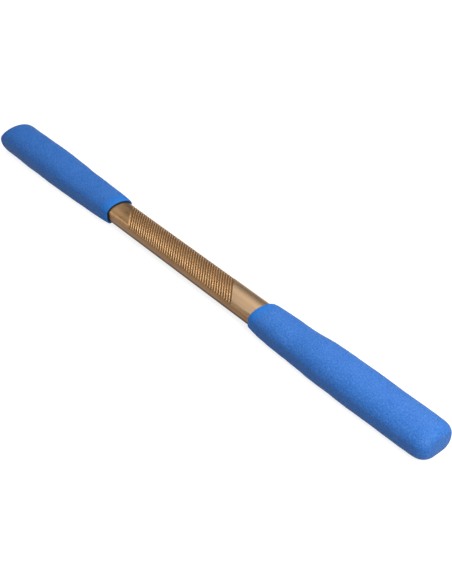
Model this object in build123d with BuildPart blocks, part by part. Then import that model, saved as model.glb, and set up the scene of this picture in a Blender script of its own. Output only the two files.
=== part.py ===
from build123d import *

import os
from math import cos, radians, sin

# A padded training stick. A half-round metal bar, ribbed over its dome where the hand holds
# it, is bare in the middle. Each end of it steps down to a flat tang between the two halves
# of a moulded core, and a closed foam sleeve is pulled over core, bumper and bar.
#
# Frame: X runs along the stick, Z is up through the ribbed dome, and the origin lies under
# the middle of the stick on the surface that the two sleeves rest on. Sizes are in mm.

# Overall
exposed_length = 160.0  # bare bar between the two sleeve mouths
sleeve_length = 150.0  # mouth to closed end

# Bar section: flat underside, upright flanks and an elliptical dome
bar_width = 20.0
flank_height = 7.0
dome_height = 4.5
bar_corner_radius = 2.0  # along the two edges of the underside

# Ribbing milled over the dome
left_plain_length = 16.75  # smooth bar between the left mouth and the first groove
right_plain_length = 30.75
rib_pitch = 2.5  # along the bar
rib_skew = 45.0  # degrees between a groove and a square cut across the bar
groove_radius = 0.85
groove_depth = 0.5
groove_runout = 12.0  # degrees of the dome left smooth above each flank

# Bar end inside the sleeve
shoulder_depth = 48.0  # full bar section inside each sleeve
tang_width = 14.0
tang_thickness = 5.0
tang_corner_radius = 3.0

# Two-part core, clamped round the tang by two spring pins
core_wall = 2.0  # how far the core stands proud of the bar section
nose_length = 10.0  # taper at the shoulder end of the core
pin_diameter = 4.0
pin_wall = 0.8
pin_slit = 0.7
pin_inset = 18.0  # shoulder to first pin, and last pin to tang tip
pin_recess = 0.5  # pin end below the core surface

# Rubber bumper plugged into the end of the core
bumper_thickness = 7.5
bumper_edge_radius = 3.0
plug_diameter = 8.0
plug_length = 9.0
plug_tip_gap = 0.5
core_web = 8.4  # solid core between the tang slot and the plug socket

# Rubber liner between bar and sleeve mouth
liner_wall = 0.6
liner_setback = 0.5  # liner end behind the sleeve mouth
liner_end_gap = 5.5  # bare bar between the liner and the core

# Foam sleeve
mouth_foam = 1.5  # foam thickness at the mouth
neck_foam = 2.1  # where the sleeve starts to climb over the core
body_foam = 2.6  # over the core
end_foam = 5.8  # beyond the bumper
climb_lead = 2.0  # how far the climb over the core's nose starts ahead of it and ends behind it
end_rounding_length = 9.0
end_rounding_inset = 5.5
lip_radius = 1.0

# Clearances
rigid_fit = 0.1  # between hard pieces, and between bar and liner
soft_fit = 0.2  # round everything that the foam touches

# Worked out from the sizes above
bar_height = flank_height + dome_height
liner_level = rigid_fit + liner_wall  # liner outside, as growth of the bar section
neck_bore = liner_level + soft_fit
body_bore = core_wall + soft_fit
mouth_level = neck_bore + mouth_foam
neck_level = neck_bore + neck_foam
body_level = body_bore + body_foam
bar_base = body_level  # underside of the bar above the resting surface
overall_height = bar_base + bar_height + body_level
tang_middle = bar_height / 2
bumper_end = sleeve_length - end_foam - soft_fit
core_end = bumper_end - bumper_thickness
plug_socket_length = plug_length + plug_tip_gap
tang_slot_length = core_end - plug_socket_length - core_web - shoulder_depth
tang_length = tang_slot_length - rigid_fit
pin_depths = [shoulder_depth + pin_inset, shoulder_depth + tang_length - pin_inset]
nose_end = shoulder_depth + nose_length
neck_length = shoulder_depth - climb_lead
climb_end = nose_end + climb_lead
groove_count = 1 + int((exposed_length - left_plain_length - right_plain_length) // rib_pitch)
first_groove = left_plain_length - exposed_length / 2
ribbing_middle = first_groove + (groove_count - 1) * rib_pitch / 2
smallest_corner = 0.5  # underside corner radius where a section shrinks
loft_steps = 4  # sections along each rounded stretch of the sleeve

os.makedirs("parts", exist_ok=True)


def section_plane(side, depth):
    """Plane across the stick, depth mm inside the sleeve mouth, facing the closed end."""
    return Plane(
        origin=(side * (exposed_length / 2 + depth), 0, bar_base),
        x_dir=(0, side, 0),
        z_dir=(side, 0, 0),
    )


def grown_section(side, depth, growth):
    """The bar's D-section grown by growth all round, at a depth inside a sleeve."""
    half_width = bar_width / 2 + growth
    corner = max(bar_corner_radius + growth, smallest_corner)
    with BuildSketch(section_plane(side, depth)) as section:
        with BuildLine():
            Line((corner - half_width, -growth), (half_width - corner, -growth))
            CenterArc((half_width - corner, corner - growth), corner, 270, 90)
            Line((half_width, corner - growth), (half_width, flank_height))
            EllipticalCenterArc(
                (0, flank_height), half_width, dome_height + growth, 0, arc_size=180
            )
            Line((-half_width, flank_height), (-half_width, corner - growth))
            CenterArc((corner - half_width, corner - growth), corner, 180, 90)
        make_face()
    return section.sketch


def straight_run(side, start, end, growth, mode=Mode.ADD):
    """Extrude one grown section between two depths inside a sleeve."""
    extrude(grown_section(side, start, growth), amount=end - start, mode=mode)


def lofted_run(side, stations, mode=Mode.ADD):
    """Loft through (depth, growth) stations inside a sleeve."""
    loft([grown_section(side, depth, growth) for depth, growth in stations], mode=mode)


def pin_position(side, depth):
    """Where the spring pin at a depth inside a sleeve crosses the tang, seen from above."""
    return (side * (exposed_length / 2 + depth), 0)


# One skewed groove: a round cutter carried over the dome
cutter_lift = groove_radius - groove_depth
skew = radians(rib_skew)
skewed_plane = Plane(
    origin=(0, 0, bar_base + flank_height),
    x_dir=(-sin(skew), cos(skew), 0),
    z_dir=(cos(skew), sin(skew), 0),
)
with BuildPart() as groove_cutter:
    with BuildLine(skewed_plane) as cutter_path:
        EllipticalCenterArc(
            (0, 0),
            (bar_width / 2 + cutter_lift) / cos(skew),
            dome_height + cutter_lift,
            groove_runout,
            arc_size=180 - 2 * groove_runout,
        )
    with BuildSketch(Plane(origin=cutter_path.line @ 0, z_dir=cutter_path.line % 0)):
        Circle(groove_radius)
    sweep()

with BuildPart() as handle_bar:
    for side in (-1, 1):
        straight_run(side, -exposed_length / 2, shoulder_depth, 0)
        with BuildSketch(section_plane(side, shoulder_depth)):
            with Locations((0, tang_middle)):
                Rectangle(tang_width, tang_thickness)
        extrude(amount=tang_length)
    tang_tips = handle_bar.edges().filter_by(Axis.Z)
    outermost = tang_tips.sort_by(Axis.X)[:2] + tang_tips.sort_by(Axis.X)[-2:]
    fillet(outermost, tang_corner_radius)
    with BuildSketch():
        with Locations([pin_position(side, depth) for side in (-1, 1) for depth in pin_depths]):
            Circle(pin_diameter / 2 + rigid_fit)
    extrude(amount=overall_height, mode=Mode.SUBTRACT)
    with Locations((ribbing_middle, 0, 0)):
        with GridLocations(rib_pitch, 0, groove_count, 1):
            add(groove_cutter.part, mode=Mode.SUBTRACT)
handle_bar.part.label = "handle_bar"
export_step(handle_bar.part, "parts/handle_bar.step")


def build_core_half(side, keep):
    """One half of the core: D-shaped outside, half of the tang slot and plug socket inside."""
    with BuildPart() as core_half:
        lofted_run(side, [(shoulder_depth, liner_level), (nose_end, core_wall)])
        straight_run(side, nose_end, core_end, core_wall)
        with BuildSketch(section_plane(side, shoulder_depth)):
            with Locations((0, tang_middle)):
                Rectangle(tang_width + 2 * rigid_fit, tang_thickness + 2 * rigid_fit)
        extrude(amount=tang_slot_length, mode=Mode.SUBTRACT)
        with BuildSketch(section_plane(side, core_end)):
            with Locations((0, tang_middle)):
                Circle(plug_diameter / 2 + rigid_fit)
        extrude(amount=-plug_socket_length, mode=Mode.SUBTRACT)
        with BuildSketch():
            with Locations([pin_position(side, depth) for depth in pin_depths]):
                Circle(pin_diameter / 2 + rigid_fit)
        extrude(amount=overall_height, mode=Mode.SUBTRACT)
        split(bisect_by=Plane.XY.offset(bar_base + tang_middle), keep=keep)
    return core_half.part


def build_spring_pin(side, depth):
    """Slotted tube pressed through both core halves and the tang."""
    pin_bottom = bar_base - core_wall + pin_recess
    pin_top = bar_base + bar_height + core_wall - pin_recess
    with BuildPart() as spring_pin:
        with BuildSketch(Plane.XY.offset(pin_bottom)):
            with Locations(pin_position(side, depth)):
                Circle(pin_diameter / 2)
                Circle(pin_diameter / 2 - pin_wall, mode=Mode.SUBTRACT)
                with Locations((side * pin_diameter / 2, 0)):
                    Rectangle(pin_diameter, pin_slit, mode=Mode.SUBTRACT)
        extrude(amount=pin_top - pin_bottom)
    return spring_pin.part


def build_end_bumper(side):
    """Rubber cap over the core end, held by its round plug."""
    with BuildPart() as end_bumper:
        straight_run(side, core_end, bumper_end, core_wall)
        end_face = end_bumper.faces().sort_by(Axis.X)[0 if side < 0 else -1]
        fillet(end_face.edges(), bumper_edge_radius)
        with BuildSketch(section_plane(side, core_end)):
            with Locations((0, tang_middle)):
                Circle(plug_diameter / 2)
        extrude(amount=-plug_length)
    return end_bumper.part


def build_mouth_liner(side):
    """Thin rubber collar between the bar and the sleeve."""
    liner_end = shoulder_depth - liner_end_gap
    with BuildPart() as mouth_liner:
        straight_run(side, liner_setback, liner_end, liner_level)
        straight_run(side, liner_setback, liner_end, rigid_fit, mode=Mode.SUBTRACT)
    return mouth_liner.part


def build_foam_sleeve(side):
    """Closed foam sleeve: thin at the mouth, thicker over the core, rounded at the end."""
    climb = []
    for step in range(loft_steps + 1):
        share = step / loft_steps
        eased = share * share * (3 - 2 * share)
        depth = neck_length + (climb_end - neck_length) * share
        climb.append((depth, neck_level + (body_level - neck_level) * eased))
    rounding_start = sleeve_length - end_rounding_length
    rounding = []
    for step in range(loft_steps + 1):
        angle = radians(90 * step / loft_steps)
        depth = rounding_start + end_rounding_length * sin(angle)
        rounding.append((depth, body_level - end_rounding_inset * (1 - cos(angle))))

    with BuildPart() as foam_sleeve:
        lofted_run(side, [(0, mouth_level), (neck_length, neck_level)])
        lofted_run(side, climb)
        straight_run(side, climb_end, rounding_start, body_level)
        lofted_run(side, rounding)
        straight_run(side, 0, shoulder_depth, neck_bore, mode=Mode.SUBTRACT)
        bore_nose = [(shoulder_depth, neck_bore), (nose_end, body_bore)]
        lofted_run(side, bore_nose, mode=Mode.SUBTRACT)
        straight_run(side, nose_end, bumper_end + soft_fit, body_bore, mode=Mode.SUBTRACT)
        mouth_face = foam_sleeve.faces().sort_by(Axis.X)[-1 if side < 0 else 0]
        fillet(mouth_face.outer_wire().edges(), lip_radius)
    return foam_sleeve.part


for side, side_name in ((-1, "left"), (1, "right")):
    pieces = {
        "upper_core": build_core_half(side, Keep.TOP),
        "lower_core": build_core_half(side, Keep.BOTTOM),
        "inner_pin": build_spring_pin(side, pin_depths[0]),
        "outer_pin": build_spring_pin(side, pin_depths[1]),
        "end_bumper": build_end_bumper(side),
        "mouth_liner": build_mouth_liner(side),
        "foam_sleeve": build_foam_sleeve(side),
    }
    for piece_name, piece in pieces.items():
        piece.label = f"{side_name}_{piece_name}"
        export_step(piece, f"parts/{side_name}_{piece_name}.step")
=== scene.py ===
from math import cos, pi, radians, sin, sqrt, tan

import bpy
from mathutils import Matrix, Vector, noise


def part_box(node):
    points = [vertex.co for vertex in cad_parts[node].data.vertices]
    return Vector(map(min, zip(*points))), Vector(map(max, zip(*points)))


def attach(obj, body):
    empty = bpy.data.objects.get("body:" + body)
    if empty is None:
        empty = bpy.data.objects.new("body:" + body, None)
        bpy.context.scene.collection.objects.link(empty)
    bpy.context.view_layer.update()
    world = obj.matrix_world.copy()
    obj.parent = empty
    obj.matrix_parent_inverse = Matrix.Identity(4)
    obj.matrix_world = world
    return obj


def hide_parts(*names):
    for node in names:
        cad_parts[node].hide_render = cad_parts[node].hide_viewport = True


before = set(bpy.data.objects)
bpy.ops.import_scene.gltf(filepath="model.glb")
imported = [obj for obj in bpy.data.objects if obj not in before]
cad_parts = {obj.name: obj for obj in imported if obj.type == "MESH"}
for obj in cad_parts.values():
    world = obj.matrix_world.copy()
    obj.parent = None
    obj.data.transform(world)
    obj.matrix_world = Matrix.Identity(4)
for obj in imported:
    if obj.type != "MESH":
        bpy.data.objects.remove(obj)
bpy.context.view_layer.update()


# ---- Handle bar -----------------------------------------------------------------------------
# A half-round bar of bronze-anodised aluminium: drawn to section, then milled with skewed
# round-bottomed grooves over the dome. Both ends step down to a flat tang, drilled for two
# spring pins.

MM = 0.001
bar_low, bar_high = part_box("handle_bar")
bar_base = bar_low.z
bar_half = (bar_high.y - bar_low.y) / 2
flank_height = 7.0 * MM
dome_height = bar_high.z - bar_base - flank_height
bar_height = flank_height + dome_height
bar_corner = 2.0 * MM
mouth_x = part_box("right_foam_sleeve")[0].x
shoulder_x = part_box("right_upper_core")[0].x
tang_tip = bar_high.x
tang_half = 7.0 * MM
tang_thickness = 5.0 * MM
tang_corner = 3.0 * MM
tang_middle = bar_base + bar_height / 2
left_plain_length = 16.75 * MM
groove_first = left_plain_length - mouth_x
groove_pitch = 2.5 * MM
groove_count = 46
groove_skew = radians(45)
groove_radius = 0.85 * MM
groove_depth = 0.5 * MM


def half_round(side, top, low, corner, steps):
    """(y, z) round the bar's D-section, grown at its flanks, top and underside.

    It starts under the middle and climbs the +Y flank. steps counts the spans of half the
    underside, a corner, a flank and the dome.
    """
    under, bend, flank, dome = steps
    half = bar_half + side
    points = [((half - corner) * i / under, -low) for i in range(under)]
    for i in range(bend):
        turn = pi / 2 * i / bend
        points.append((half - corner + corner * sin(turn), corner - low - corner * cos(turn)))
    for i in range(flank):
        points.append((half, corner - low + (flank_height + low - corner) * i / flank))
    for i in range(dome // 2):
        turn = pi * i / dome
        points.append((half * cos(turn), flank_height + (dome_height + top) * sin(turn)))
    crown = [(0.0, bar_height + top)]
    mirrored = [(-y, z) for y, z in reversed(points[1:])]
    return [(y, z + bar_base) for y, z in points + crown + mirrored]


def ring_mesh(name, rings, first_pole, last_pole, reverse=False):
    """A closed skin through rings of equal count, capped by a fan at each end."""
    count = len(rings[0])
    vertices = [point for ring in rings for point in ring] + [first_pole, last_pole]
    first, last = len(vertices) - 2, len(vertices) - 1
    tail = (len(rings) - 1) * count
    faces = []
    for j in range(count):
        k = (j + 1) % count
        faces.append((first, k, j))
        faces.append((last, tail + j, tail + k))
        for start in range(0, tail, count):
            faces.append((start + j, start + k, start + k + count, start + j + count))
    if reverse:
        faces = [face[::-1] for face in faces]
    mesh = bpy.data.meshes.new(name)
    mesh.from_pydata(vertices, [], faces)
    mesh.shade_smooth()
    piece = bpy.data.objects.new(name, mesh)
    bpy.context.scene.collection.objects.link(piece)
    return piece


def eased(value, start, end):
    """0 before start, 1 after end and a smooth climb between them."""
    share = min(1.0, max(0.0, (value - start) / (end - start)))
    return share * share * (3 - 2 * share)


def evenly(start, end, step):
    """Places from start to just before end, about a step apart."""
    count = max(1, round((end - start) / step))
    return [start + (end - start) * i / count for i in range(count)]


# Cuts across the blank lie along the grooves where it is ribbed and square elsewhere, with
# more of them where a groove meets its land.
groove_half = sqrt(groove_radius**2 - (groove_radius - groove_depth) ** 2) / cos(groove_skew)
within_groove = (-1, -0.92, -0.76, -0.54, -0.28, 0, 0.28, 0.54, 0.76, 0.92, 1)
ribbed_run = []
for groove in range(groove_count):
    middle = groove_first + groove * groove_pitch
    ribbed_run += [middle + share * groove_half for share in within_groove]
    ribbed_run.append(middle + groove_pitch / 2)
plain_step = 1.6 * MM
left_run = evenly(-shoulder_x, ribbed_run[0], plain_step)
right_run = evenly(ribbed_run[-1], shoulder_x, plain_step)[1:] + [shoulder_x]
straighten_from, straighten_to = 3 * MM, 24 * MM
bar_steps = (5, 8, 6, 72)
bar_section = half_round(0, 0, 0, bar_corner, bar_steps)
bar_rings = []
for x in left_run + ribbed_run + right_run:
    slant = eased(x, ribbed_run[0] - straighten_to, ribbed_run[0] - straighten_from)
    slant *= 1 - eased(x, ribbed_run[-1] + straighten_from, ribbed_run[-1] + straighten_to)
    shear = slant * tan(groove_skew)
    bar_rings.append([(x - y * shear, y, z) for y, z in bar_section])

# The tang's rings fan out from its middle through the same points as the bar's section.
tang_rings = []
tang_steps = 6
rounding = [(tang_tip - tang_corner, pi / 2 * i / tang_steps) for i in range(tang_steps + 1)]
for start, turn in [(shoulder_x, 0)] + rounding:
    half = tang_half - tang_corner * (1 - cos(turn))
    x = start + tang_corner * sin(turn)
    ring = []
    for y, z in bar_section:
        across = abs(y) / half
        rise = abs(z - tang_middle) / (tang_thickness / 2)
        reach = 1 / max(across, rise)
        ring.append((x, y * reach, tang_middle + (z - tang_middle) * reach))
    tang_rings.append(ring)
mirrored_rings = [[(-x, y, z) for x, y, z in ring] for ring in reversed(tang_rings)]
ribbed_bar = ring_mesh(
    "ribbed_bar",
    mirrored_rings + bar_rings + tang_rings,
    (-tang_tip, 0, tang_middle),
    (tang_tip, 0, tang_middle),
)


def kept_result(piece, modifier, name):
    """Make a modifier's result the piece's plain mesh and remove the modifier."""
    depsgraph = bpy.context.evaluated_depsgraph_get()
    result = bpy.data.meshes.new_from_object(piece.evaluated_get(depsgraph))
    piece.modifiers.remove(modifier)
    piece.data = result
    result.name = name


# The pin holes, one upright drill for each of the four pins
hole_radius = 2.1 * MM
drill_sides = 32
drill_mesh = bpy.data.meshes.new("drills")
drill_points, drill_faces = [], []
for node in ("left_inner_pin", "left_outer_pin", "right_inner_pin", "right_outer_pin"):
    pin_low, pin_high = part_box(node)
    pin_radius = (pin_high.y - pin_low.y) / 2
    on_left = node.startswith("left")
    pin_middle = pin_high.x - pin_radius if on_left else pin_low.x + pin_radius
    base = len(drill_points)
    for z in (pin_low.z, pin_high.z):
        for i in range(drill_sides):
            turn = 2 * pi * i / drill_sides
            drill_points.append((pin_middle + hole_radius * cos(turn), hole_radius * sin(turn), z))
    for i in range(drill_sides):
        j = (i + 1) % drill_sides
        drill_faces.append((base + i, base + j, base + drill_sides + j, base + drill_sides + i))
    drill_faces.append([base + i for i in reversed(range(drill_sides))])
    drill_faces.append([base + drill_sides + i for i in range(drill_sides)])
drill_mesh.from_pydata(drill_points, [], drill_faces)
drills = bpy.data.objects.new("drills", drill_mesh)
bpy.context.scene.collection.objects.link(drills)
drilling = ribbed_bar.modifiers.new("pin_holes", "BOOLEAN")
drilling.object = drills
drilling.operation = "DIFFERENCE"
drilling.solver = "EXACT"
kept_result(ribbed_bar, drilling, "ribbed_bar")
bpy.data.objects.remove(drills)


class Wire:
    """A node's output, so that node maths is written as a sum."""

    def __init__(self, socket):
        self.socket = socket
        self.tree = socket.id_data

    @staticmethod
    def node(tree, kind, settings=None, inputs=None, output=0):
        """Add a node, apply its settings, fill or link its inputs and return an output."""
        made = tree.nodes.new(kind)
        for name, value in (settings or {}).items():
            if name == "stops":
                ramp = made.color_ramp.elements
                while len(ramp) < len(value):
                    ramp.new(1.0)
                for stop, (place, colour) in zip(ramp, value):
                    stop.position = place
                    stop.color = (*colour, 1)
            else:
                setattr(made, name, value)
        for name, value in (inputs or {}).items():
            if isinstance(value, Wire):
                tree.links.new(value.socket, made.inputs[name])
            else:
                made.inputs[name].default_value = value
        if made.outputs:
            return Wire(made.outputs[output])

    def tap(self, output):
        """Another output of the same node."""
        return Wire(self.socket.node.outputs[output])

    def maths(self, operation, *others):
        """A Math node on this wire and others."""
        inputs = dict(enumerate((self, *others)))
        return Wire.node(self.tree, "ShaderNodeMath", {"operation": operation}, inputs)

    def swapped(self, operation, other):
        """A Math node with this wire second."""
        inputs = {0: other, 1: self}
        return Wire.node(self.tree, "ShaderNodeMath", {"operation": operation}, inputs)

    def between(self, start, end, low=0.0, high=1.0):
        """A smooth step from low, where this wire is start, to high, where it is end."""
        return Wire.node(
            self.tree,
            "ShaderNodeMapRange",
            {"interpolation_type": "SMOOTHSTEP"},
            {"Value": self, "From Min": start, "From Max": end, "To Min": low, "To Max": high},
        )

    def into(self, *sockets):
        """Link this wire to sockets."""
        for socket in sockets:
            self.tree.links.new(self.socket, socket)

    def __add__(self, other):
        return self.maths("ADD", other)

    __radd__ = __add__

    def __sub__(self, other):
        return self.maths("SUBTRACT", other)

    def __rsub__(self, other):
        return self.swapped("SUBTRACT", other)

    def __mul__(self, other):
        return self.maths("MULTIPLY", other)

    __rmul__ = __mul__

    def __truediv__(self, other):
        return self.maths("DIVIDE", other)

    def __pow__(self, other):
        return self.maths("POWER", other)


def stretched_noise(tree, place, scale, detail):
    """Noise on object coordinates with its own scale along X, Y and Z."""
    mapped = Wire.node(tree, "ShaderNodeMapping", inputs={"Vector": place, "Scale": scale})
    values = {"Vector": mapped, "Scale": 1.0, "Detail": detail}
    return Wire.node(tree, "ShaderNodeTexNoise", inputs=values)


def colour_mix(tree, kind, factor, first, second):
    """A Mix node on colours."""
    values = {"Factor": factor, "A": first, "B": second}
    settings = {"data_type": "RGBA", "blend_type": kind}
    return Wire.node(tree, "ShaderNodeMix", settings, values, output=2)


def new_material(name):
    """A node material, with its tree, its shader and its object coordinates."""
    material = bpy.data.materials.new(name)
    material.use_nodes = True
    tree = material.node_tree
    place = Wire.node(tree, "ShaderNodeTexCoord", output="Object")
    return material, tree, tree.nodes["Principled BSDF"].inputs, place


def bar_metal():
    """Bronze-anodised aluminium with fine draw lines, and painted light: a lighter dome over a
    shaded flank and underside, shaded groove floors and lands painted bright.
    """
    material, tree, shader, place = new_material("bar_metal")
    brushing = stretched_noise(tree, place, (26, 2600, 2600), 3.0)
    streaks = stretched_noise(tree, place, (30, 320, 320), 4.0)
    handled = stretched_noise(tree, place, (70, 70, 70), 5.0)
    cut = Wire.node(tree, "ShaderNodeAttribute", {"attribute_name": "groove_cut"}, output="Fac")
    glint_on_lands = Wire.node(tree, "ShaderNodeAttribute", {"attribute_name": "land_wear"}, output="Fac")
    spread = Wire.node(tree, "ShaderNodeSeparateXYZ", inputs={0: place})
    height = (spread.tap("Z") - bar_base) / bar_height
    # Painted light up the section: the dome's bronze is lighter than the flank's, a lit and a
    # shaded copy of one finish, and the underside is dark with painted shade beneath the bar's
    # lower edge.
    underside, flank, dome = (0.062, 0.036, 0.02), (0.212, 0.107, 0.040), (0.55, 0.325, 0.155)
    # Two thin darker stripes run along the flank, one at its top edge.
    dark_stripe = (0.19, 0.092, 0.036)
    painted_light_up_the_section = [
        (0.0, underside),
        (0.19, underside),
        (0.26, (0.11, 0.062, 0.032)),
        # Painted highlight: a lighter band low on the flank.
        (0.34, (0.25, 0.14, 0.066)),
        (0.41, flank),
        (0.45, dark_stripe),
        (0.49, flank),
        (0.60, flank),
        (0.635, dark_stripe),
        (0.70, dome),
        (1.0, dome),
    ]
    drawn = Wire.node(tree, "ShaderNodeValToRGB", {"stops": painted_light_up_the_section}, {0: height})
    smooth = 1.0 - cut.maths("MAXIMUM", glint_on_lands)
    drawing = (brushing - 0.5) * smooth
    tone = 0.5 + drawing * 0.15 + (streaks - 0.5) * smooth * 0.2 + (handled - 0.5)
    clouding = [(0.2, (0.76, 0.73, 0.70)), (0.5, (1, 1, 1)), (0.8, (1.24, 1.27, 1.3))]
    cloud = Wire.node(tree, "ShaderNodeValToRGB", {"stops": clouding}, {0: tone})
    plain = colour_mix(tree, "MULTIPLY", 1.0, drawn, cloud)

    # Painted sheen pales the crown by the right sleeve; groove floors get painted shade, lands a
    # highlight.
    painted_sheen, painted_groove_shade = (0.50, 0.35, 0.22, 1), (0.19, 0.108, 0.049, 1)
    painted_glint_colour = (0.88, 0.54, 0.265, 1)
    sheen_from, sheen_to = 40 * MM, 52 * MM
    painted_sheen_mask = spread.between(sheen_from, sheen_to) * height.between(0.6, 0.8) * smooth
    plain = colour_mix(tree, "MIX", painted_sheen_mask * 0.7, plain, painted_sheen)
    # Painted shade darkens the groove floors.
    shaded = colour_mix(tree, "MIX", cut * 0.9, plain, painted_groove_shade)
    # Painted highlight: the lands are lighter, for the glint of their crests.
    colour = colour_mix(tree, "MIX", glint_on_lands * 0.65, shaded, painted_glint_colour)
    roughness = 0.34 + drawing * 0.12 + (handled - 0.5) * 0.18 + cut * 0.25 + glint_on_lands * 0.14
    grain = {"Strength": 0.12, "Distance": 0.1 * MM, "Height": drawing}
    colour.into(shader["Base Color"])
    roughness.into(shader["Roughness"])
    Wire.node(tree, "ShaderNodeBump", inputs=grain).into(shader["Normal"])
    shader["Metallic"].default_value = 1.0
    return material


def rib_cutting_tree():
    """Sink round-bottomed grooves into the dome of a half-round blank."""
    tree = bpy.data.node_groups.new("rib_cutting", "GeometryNodeTree")
    sizes = ("First Groove", "Pitch", "Count", "Skew", "Radius", "Depth", "Fade Low", "Fade High")
    tree.interface.new_socket("Geometry", in_out="INPUT", socket_type="NodeSocketGeometry")
    for name in sizes:
        tree.interface.new_socket(name, in_out="INPUT", socket_type="NodeSocketFloat")
    tree.interface.new_socket("Material", in_out="INPUT", socket_type="NodeSocketMaterial")
    tree.interface.new_socket("Geometry", in_out="OUTPUT", socket_type="NodeSocketGeometry")
    given = Wire.node(tree, "NodeGroupInput")
    first, pitch, count, skew, radius, depth, fade_low, fade_high = map(given.tap, sizes)
    position = Wire.node(tree, "GeometryNodeInputPosition")
    spread = Wire.node(tree, "ShaderNodeSeparateXYZ", inputs={0: position})
    along = spread + spread.tap("Y") * skew.maths("TANGENT")
    turns = (along - first) / pitch
    nearest = turns.maths("ROUND").maths("MAXIMUM", 0.0).maths("MINIMUM", count - 1)
    aside = (turns - nearest).maths("ABSOLUTE") * pitch * skew.maths("COSINE")
    sag = (radius * radius - aside * aside).maths("MAXIMUM", 0.0).maths("SQRT")
    open_dome = spread.tap("Z").between(fade_low, fade_high)
    cut = (sag - (radius - depth)).maths("MAXIMUM", 0.0) * open_dome
    groove_edge = (radius * radius - (radius - depth) ** 2.0).maths("SQRT")
    land = pitch * skew.maths("COSINE") / 2.0 - groove_edge
    past_edge = (aside - groove_edge) / land
    ribbed = turns.between(-0.2, 0.1) * turns.between(count - 1.1, count - 0.8, 1.0, 0.0)
    # Painted highlight: the share of each land, beside a groove's edge, that the metal paints
    # lighter as glint.
    glint_share = past_edge.between(-2.2, 0.2) * ribbed * open_dome
    kept = given
    for name, value in (("groove_cut", cut / depth), ("land_wear", glint_share)):
        settings = {"data_type": "FLOAT", "domain": "POINT"}
        values = {"Geometry": kept, "Name": name, "Value": value}
        kept = Wire.node(tree, "GeometryNodeStoreNamedAttribute", settings, values)
    offset = Wire.node(
        tree,
        "ShaderNodeVectorMath",
        {"operation": "SCALE"},
        {0: Wire.node(tree, "GeometryNodeInputNormal"), "Scale": cut * -1.0},
    )
    cut_bar = {"Geometry": kept, "Offset": offset}
    moved = Wire.node(tree, "GeometryNodeSetPosition", inputs=cut_bar)
    realized = Wire.node(tree, "GeometryNodeRealizeInstances", inputs={"Geometry": moved})
    finish = {"Geometry": realized, "Material": given.tap("Material")}
    coated = Wire.node(tree, "GeometryNodeSetMaterial", inputs=finish)
    Wire.node(tree, "NodeGroupOutput", inputs={"Geometry": coated})
    return tree


def modelled(piece, tree, values):
    """Run a geometry tree on a piece and keep its result."""
    modifier = piece.modifiers.new(tree.name, "NODES")
    modifier.node_group = tree
    for socket in tree.interface.items_tree:
        if socket.in_out == "INPUT" and socket.name in values:
            modifier[socket.identifier] = values[socket.name]
    kept_result(piece, modifier, piece.name)


modelled(
    ribbed_bar,
    rib_cutting_tree(),
    {
        "First Groove": groove_first,
        "Pitch": groove_pitch,
        "Count": float(groove_count),
        "Skew": groove_skew,
        "Radius": groove_radius,
        "Depth": groove_depth,
        "Fade Low": bar_base + flank_height,
        "Fade High": bar_base + flank_height + 2.0 * MM,
        "Material": bar_metal(),
    },
)
ribbed_bar.data.set_sharp_from_angle(angle=radians(75))
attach(ribbed_bar, "root")
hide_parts("handle_bar")


# ---- Cores, pins, bumpers and liners --------------------------------------------------------
# Inside each sleeve: two moulded halves of black nylon clamp the tang, two spring-steel pins
# hold them, a rubber bumper plugs the end and a rubber collar lines the mouth.

def moulded_black(name, colour, grain_size, roughness, relief):
    """A black moulding with a fine grain: colour, grains per metre, roughness and relief."""
    material, tree, shader, place = new_material(name)
    grain = stretched_noise(tree, place, (grain_size,) * 3, 4.0)
    cloud = stretched_noise(tree, place, (120, 120, 120), 3.0)
    pale = tuple(1.8 * level for level in colour)
    shade = (grain - 0.5) * 0.8 + cloud
    finish = {"stops": [(0.3, colour), (0.75, pale)]}
    Wire.node(tree, "ShaderNodeValToRGB", finish, {0: shade}).into(shader["Base Color"])
    (roughness + (grain - 0.5) * 0.25).into(shader["Roughness"])
    bump = {"Strength": 0.5, "Distance": relief, "Height": grain}
    Wire.node(tree, "ShaderNodeBump", inputs=bump).into(shader["Normal"])
    return material


def pin_metal():
    """Bright spring steel with fine turning lines round the pin."""
    material, tree, shader, place = new_material("pin_metal")
    lines = stretched_noise(tree, place, (400, 400, 9000), 2.0)
    finish = {"stops": [(0.3, (0.36, 0.36, 0.37)), (0.7, (0.52, 0.52, 0.53))]}
    Wire.node(tree, "ShaderNodeValToRGB", finish, {0: lines}).into(shader["Base Color"])
    (0.28 + (lines - 0.5) * 0.2).into(shader["Roughness"])
    bump = {"Strength": 0.2, "Distance": 0.02 * MM, "Height": lines}
    Wire.node(tree, "ShaderNodeBump", inputs=bump).into(shader["Normal"])
    shader["Metallic"].default_value = 1.0
    return material


core_nylon = moulded_black("core_nylon_grain", (0.012, 0.012, 0.014), 1800, 0.5, 0.05 * MM)
soft_rubber = moulded_black("soft_rubber", (0.009, 0.009, 0.010), 2600, 0.8, 0.03 * MM)
pin_steel = pin_metal()
inner_finishes = {
    "upper_core": core_nylon,
    "lower_core": core_nylon,
    "inner_pin": pin_steel,
    "outer_pin": pin_steel,
    "end_bumper": soft_rubber,
    "mouth_liner": soft_rubber,
}
for side in ("left", "right"):
    for piece_name, finish in inner_finishes.items():
        for material_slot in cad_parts[f"{side}_{piece_name}"].material_slots:
            material_slot.material = finish


# ---- Foam sleeves ---------------------------------------------------------------------------
# Closed-cell foam rubber, moulded as a closed tube and pulled on over bumper, core and bar:
# thin and snug at the mouth, where its lip rolls in, and fuller where it climbs over the core.

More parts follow.
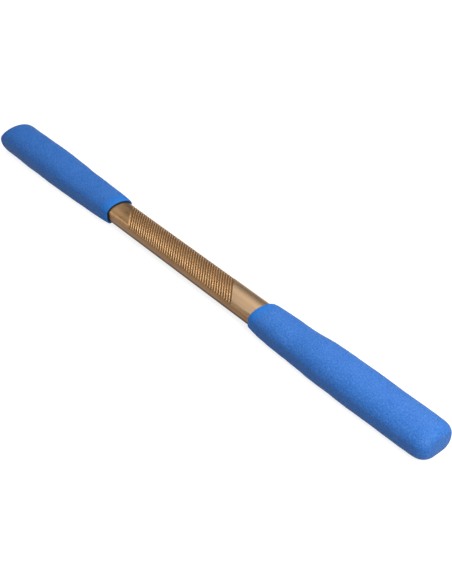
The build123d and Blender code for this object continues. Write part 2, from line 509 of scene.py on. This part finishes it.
sleeve_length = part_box("right_foam_sleeve")[1].x - mouth_x
neck_bore = 0.9 * MM
body_bore = 2.2 * MM
nose_length = 10 * MM
nose_start = shoulder_x - mouth_x
nose_end = nose_start + nose_length
end_foam = 5.8 * MM
end_bulge = 0.4 * MM
end_corner = 2 * MM
cavity_end = sleeve_length - end_foam
lip_length = 4.8 * MM
lip_inner_round = 0.25 * MM
foam_lump = 0.28 * MM
broad_lumps, fine_lumps = 60, 210
settle_from, settle_to = 5 * MM, 60 * MM
skin_steps = (6, 10, 6, 56)
skin_spacing = 1.4 * MM
cap_steps = 22
lip_steps = 10
lip_inner_steps = 4


def foam_rubber():
    """Bright blue closed-cell foam with fine open pores, and a cut lip of fresher colour."""
    material, tree, shader, place = new_material("foam_rubber")
    cloud = stretched_noise(tree, place, (90, 90, 90), 4.0)
    speckle = stretched_noise(tree, place, (1100, 1100, 1100), 3.0)
    cells = Wire.node(tree, "ShaderNodeTexVoronoi", inputs={"Vector": place, "Scale": 1700.0})
    lip = Wire.node(tree, "ShaderNodeAttribute", {"attribute_name": "cut_lip"}, output="Fac")
    tone = 0.5 + (cloud - 0.5) * 0.15 + (speckle - 0.5)
    dark, blue, light = (0.014, 0.106, 0.42), (0.033, 0.155, 0.50), (0.068, 0.214, 0.585)
    blues = {"stops": [(0.25, dark), (0.5, blue), (0.75, light)]}
    skin = Wire.node(tree, "ShaderNodeValToRGB", blues, {0: tone})
    fresh_cut = (0.007, 0.177, 0.636, 1)
    colour = colour_mix(tree, "MIX", lip * 0.8, skin, fresh_cut)
    bump = {"Strength": 0.35, "Distance": 0.25 * MM, "Height": cells + speckle * 0.8}
    colour.into(shader["Base Color"])
    (0.58 + (speckle - 0.5) * 0.2).into(shader["Roughness"])
    Wire.node(tree, "ShaderNodeBump", inputs=bump).into(shader["Normal"])
    shader["Specular IOR Level"].default_value = 0.22
    return material


def through(stations, depth):
    """A smooth curve through (depth, growth) stations in millimetres, read in metres."""
    place = min(max(depth / MM, stations[0][0]), stations[-1][0])
    i = max(k for k in range(len(stations) - 1) if k == 0 or stations[k][0] <= place)
    (x0, y0), (x1, y1) = stations[i], stations[i + 1]
    before, after = stations[max(i - 1, 0)], stations[min(i + 2, len(stations) - 1)]
    slope0 = (y1 - before[1]) / (x1 - before[0])
    slope1 = (after[1] - y0) / (after[0] - x0)
    span = x1 - x0
    share = (place - x0) / span
    left = y0 + slope0 * span * share
    right = y1 - slope1 * span * (1 - share)
    straight = y0 + (y1 - y0) * share
    blend = share * share * (3 - 2 * share)
    curve = left * (1 - blend) + right * blend
    return MM * (straight + (curve - straight) * 4 * share * (1 - share))


def foam_sleeve(name, direction, upper, lower, cap, lip_edge, slip, tilt):
    """One sleeve.

    upper and lower are stations of the foam's growth over the bar's section. cap gives the
    length and inset of the end's rounding on top, at the sides and below, lip_edge the growth
    at the very edge above and below. slip moves the mouth outwards, and tilt sets it askew.
    """

    def ring(depth, top, side, low, corner, shrink=1.0, lump=0.0):
        """A ring at a depth, with its growth above, beside and below the bar."""
        middle = bar_base + (bar_height + top - low) / 2
        settled = 1 - eased(depth, settle_from, settle_to)
        made = []
        for y, z in half_round(side, top, low, corner, skin_steps):
            x = direction * (mouth_x + depth) + settled * (direction * slip + tilt * y)
            place = Vector((x, y, z))
            swell = noise.noise(place * broad_lumps) + 0.35 * noise.noise(place * fine_lumps)
            swell *= lump
            grow = shrink * (1 + swell / sqrt(y * y + (z - middle) ** 2))
            made.append((x, y * grow, max(middle + (z - middle) * grow, 0)))
        return made

    def corner_at(depth):
        """The radius of the lower corners: 3.6 mm at the neck and 7.8 mm from 75 mm in."""
        return (3.6 + 4.2 * min(1, max(0, (depth / MM - 20) / 55))) * MM

    def skin_ring(depth):
        """The outside of the sleeve, with its end rounding and its rolled lip."""
        top, low = through(upper, depth), through(lower, depth)
        side = (top + low) / 2
        insets = []
        for length, inset in cap:
            past = min(1, max(0, 1 - (sleeve_length - depth) / length))
            insets.append(inset * (1 - sqrt(1 - past * past)))
        if depth < lip_length:
            roll = sqrt(1 - (1 - depth / lip_length) ** 2)
            top = lip_edge[0] + (top - lip_edge[0]) * roll
            low = lip_edge[1] + (low - lip_edge[1]) * roll
            side = (top + low) / 2
        corner = max(corner_at(depth) - 0.6 * min(insets[1:]), end_corner)
        lump = foam_lump * eased(depth, 0, 4 * MM)
        lump *= 1 - eased(depth, sleeve_length - 8 * MM, sleeve_length)
        return ring(depth, top - insets[0], side - insets[1], low - insets[2], corner, lump=lump)

    # lips holds how far each ring has the colour of the cut lip.
    rings, lips = [], []
    end_top = through(upper, sleeve_length) - cap[0][1]
    end_low = through(lower, sleeve_length) - cap[2][1]
    end_side = (through(upper, sleeve_length) + through(lower, sleeve_length)) / 2 - cap[1][1]
    for share in (0.3, 0.55, 0.78, 0.93):
        depth = sleeve_length - end_bulge * share**4
        rings.append(ring(depth, end_top, end_side, end_low, end_corner, shrink=share))
        lips.append(0.0)
    rounded = max(length for length, inset in cap)
    for i in range(cap_steps):
        turn = pi / 2 * i / cap_steps
        from_end = (rounded - end_bulge) * (1 - cos(turn))
        rings.append(skin_ring(sleeve_length - end_bulge - from_end))
        lips.append(0.0)
    for depth in evenly(sleeve_length - rounded, lip_length, -skin_spacing):
        rings.append(skin_ring(depth))
        lips.append(0.6 * (1 - eased(depth, lip_length, 9 * MM)))
    for i in range(lip_steps + 1):
        turn = pi / 2 * i / lip_steps
        rings.append(skin_ring(lip_length * (1 - sin(turn))))
        lips.append(0.6 + 0.4 * i / lip_steps)
    for i in range(lip_inner_steps + 1):
        turn = pi / 2 * i / lip_inner_steps
        bore = neck_bore + lip_inner_round * (1 - sin(turn))
        depth = lip_inner_round * (1 - cos(turn))
        rings.append(ring(depth, bore, bore, bore, bar_corner + bore))
        lips.append(1.0)
    cavity = [(lip_length, neck_bore), (nose_start, neck_bore), (nose_end, body_bore)]
    cavity.append((cavity_end, body_bore))
    for depth, bore in cavity:
        rings.append(ring(depth, bore, bore, bore, bar_corner + bore))
        lips.append(0.0)
    end_middle = bar_base + (bar_height + end_top - end_low) / 2
    sleeve = ring_mesh(
        name,
        rings,
        (direction * (mouth_x + sleeve_length), 0, end_middle),
        (direction * (mouth_x + cavity_end), 0, tang_middle),
        reverse=direction > 0,
    )
    lip = sleeve.data.attributes.new("cut_lip", "FLOAT", "POINT")
    around = len(rings[0])
    lip.data.foreach_set("value", [value for value in lips for _ in range(around)] + [0.0, 0.0])
    sleeve.data.materials.append(foam)
    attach(sleeve, "root")
    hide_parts(name.replace("sleeve", "foam_sleeve"))


foam = foam_rubber()
foam_sleeve(
    "left_sleeve",
    direction=-1,
    upper=[(0, 2.6), (14, 3.0), (50, 3.2), (60, 3.7)]
    + [(74, 4.6), (88, 5.1), (110, 5.25), (150, 5.3)],
    lower=[(0, 1.6), (14, 2.4), (34, 3.4), (52, 4.35)]
    + [(70, 4.7), (100, 4.75), (120, 4.6), (150, 4.4)],
    cap=[(10 * MM, 4.6 * MM), (3 * MM, 0.8 * MM), (9 * MM, 4.0 * MM)],
    lip_edge=(1.25 * MM, 2.1 * MM),
    slip=0.6 * MM,
    tilt=0.0,
)
foam_sleeve(
    "right_sleeve",
    direction=1,
    upper=[(0, 2.7), (14, 2.95), (34, 2.85), (40, 3.1), (52, 4.4)]
    + [(60, 4.7), (90, 4.8), (120, 4.45), (150, 4.3)],
    lower=[(0, 0.9), (6, 1.5), (14, 2.3), (34, 3.4)]
    + [(52, 3.95), (70, 4.4), (90, 4.75), (150, 4.3)],
    cap=[(8 * MM, 6.0 * MM), (9 * MM, 6.5 * MM), (11 * MM, 4.7 * MM)],
    lip_edge=(1.25 * MM, 1.25 * MM),
    slip=-0.5 * MM,
    tilt=0.08,
)


# ---- Studio ---------------------------------------------------------------------------------
# A sheet of paper for the floor, a dim grey room, six soft lamps above the stick on the left
# sleeve's side, whose reflections lie along the dome, and two soft lamps for the right sleeve.

paper_glow = 0.85
room_level = 0.106
softbox_side = 0.3
dome_softboxes = (
    ((-0.541, -0.386, 0.348), 0.35),
    ((-0.469, 0.0, 0.586), 0.24),
    ((-0.351, 0.351, 0.562), 0.44),
    ((-0.236, 0.079, 0.708), 0.38),
    ((-0.267, -0.267, 0.648), 0.47),
    ((-0.228, -0.639, 0.320), 0.24),
)


def floor_paper():
    """Grey matt paper that is white to the camera, in reflections and through glass."""
    material, tree, shader, _ = new_material("floor_paper")
    shader["Base Color"].default_value = (0.3, 0.3, 0.3, 1)
    shader["Roughness"].default_value = 0.9
    shader["Specular IOR Level"].default_value = 0.0
    shader["Emission Color"].default_value = (1, 1, 1, 1)
    rays = Wire.node(tree, "ShaderNodeLightPath", output="Is Camera Ray")
    seen = rays + rays.tap("Is Glossy Ray") + rays.tap("Is Transmission Ray")
    (seen * paper_glow).into(shader["Emission Strength"])
    material.cycles.emission_sampling = "NONE"
    return material


bpy.ops.mesh.primitive_plane_add(size=8.0)
studio_floor = bpy.context.object
studio_floor.name = "studio_floor"
studio_floor.data.materials.append(floor_paper())

world = bpy.data.worlds.new("studio")
world.use_nodes = True
bpy.context.scene.world = world
sky = world.node_tree.nodes["Background"]
rays = Wire.node(world.node_tree, "ShaderNodeLightPath", output="Is Camera Ray")
(room_level + rays * (1 - room_level)).into(sky.inputs["Strength"])
sky.inputs["Color"].default_value = (1, 1, 1, 1)


def softbox(name, place, aim, power):
    """A square soft lamp, place and aim in metres, power in watts."""
    light = bpy.data.lights.new(name, "AREA")
    light.shape = "RECTANGLE"
    light.size = softbox_side
    light.size_y = softbox_side
    light.energy = power
    lamp = bpy.data.objects.new(name, light)
    lamp.location = place
    lamp.rotation_euler = (Vector(aim) - Vector(place)).to_track_quat("-Z", "Y").to_euler()
    bpy.context.scene.collection.objects.link(lamp)


for number, (place, power) in enumerate(dome_softboxes):
    softbox(f"dome_softbox_{number}", place, (0, 0, 0), power)
softbox("sleeve_softbox_front", (0.60, -0.12, 0.5), (0.12, 0, 0), 4.8)
softbox("sleeve_softbox_back", (0.05, 0.45, 0.55), (0.16, 0, 0), 2.4)

# The camera stands beyond the right sleeve and looks down along the stick.
lens = bpy.data.cameras.new("camera")
lens.lens = 61.725
lens.sensor_width = 36.0
camera = bpy.data.objects.new("camera", lens)
camera.location = (0.4503, -0.34178, 0.42274)
camera.rotation_euler = (radians(52.0065), radians(-0.095), radians(50.0447))
bpy.context.scene.collection.objects.link(camera)
bpy.context.scene.camera = camera
bpy.context.scene.view_settings.view_transform = "Standard"
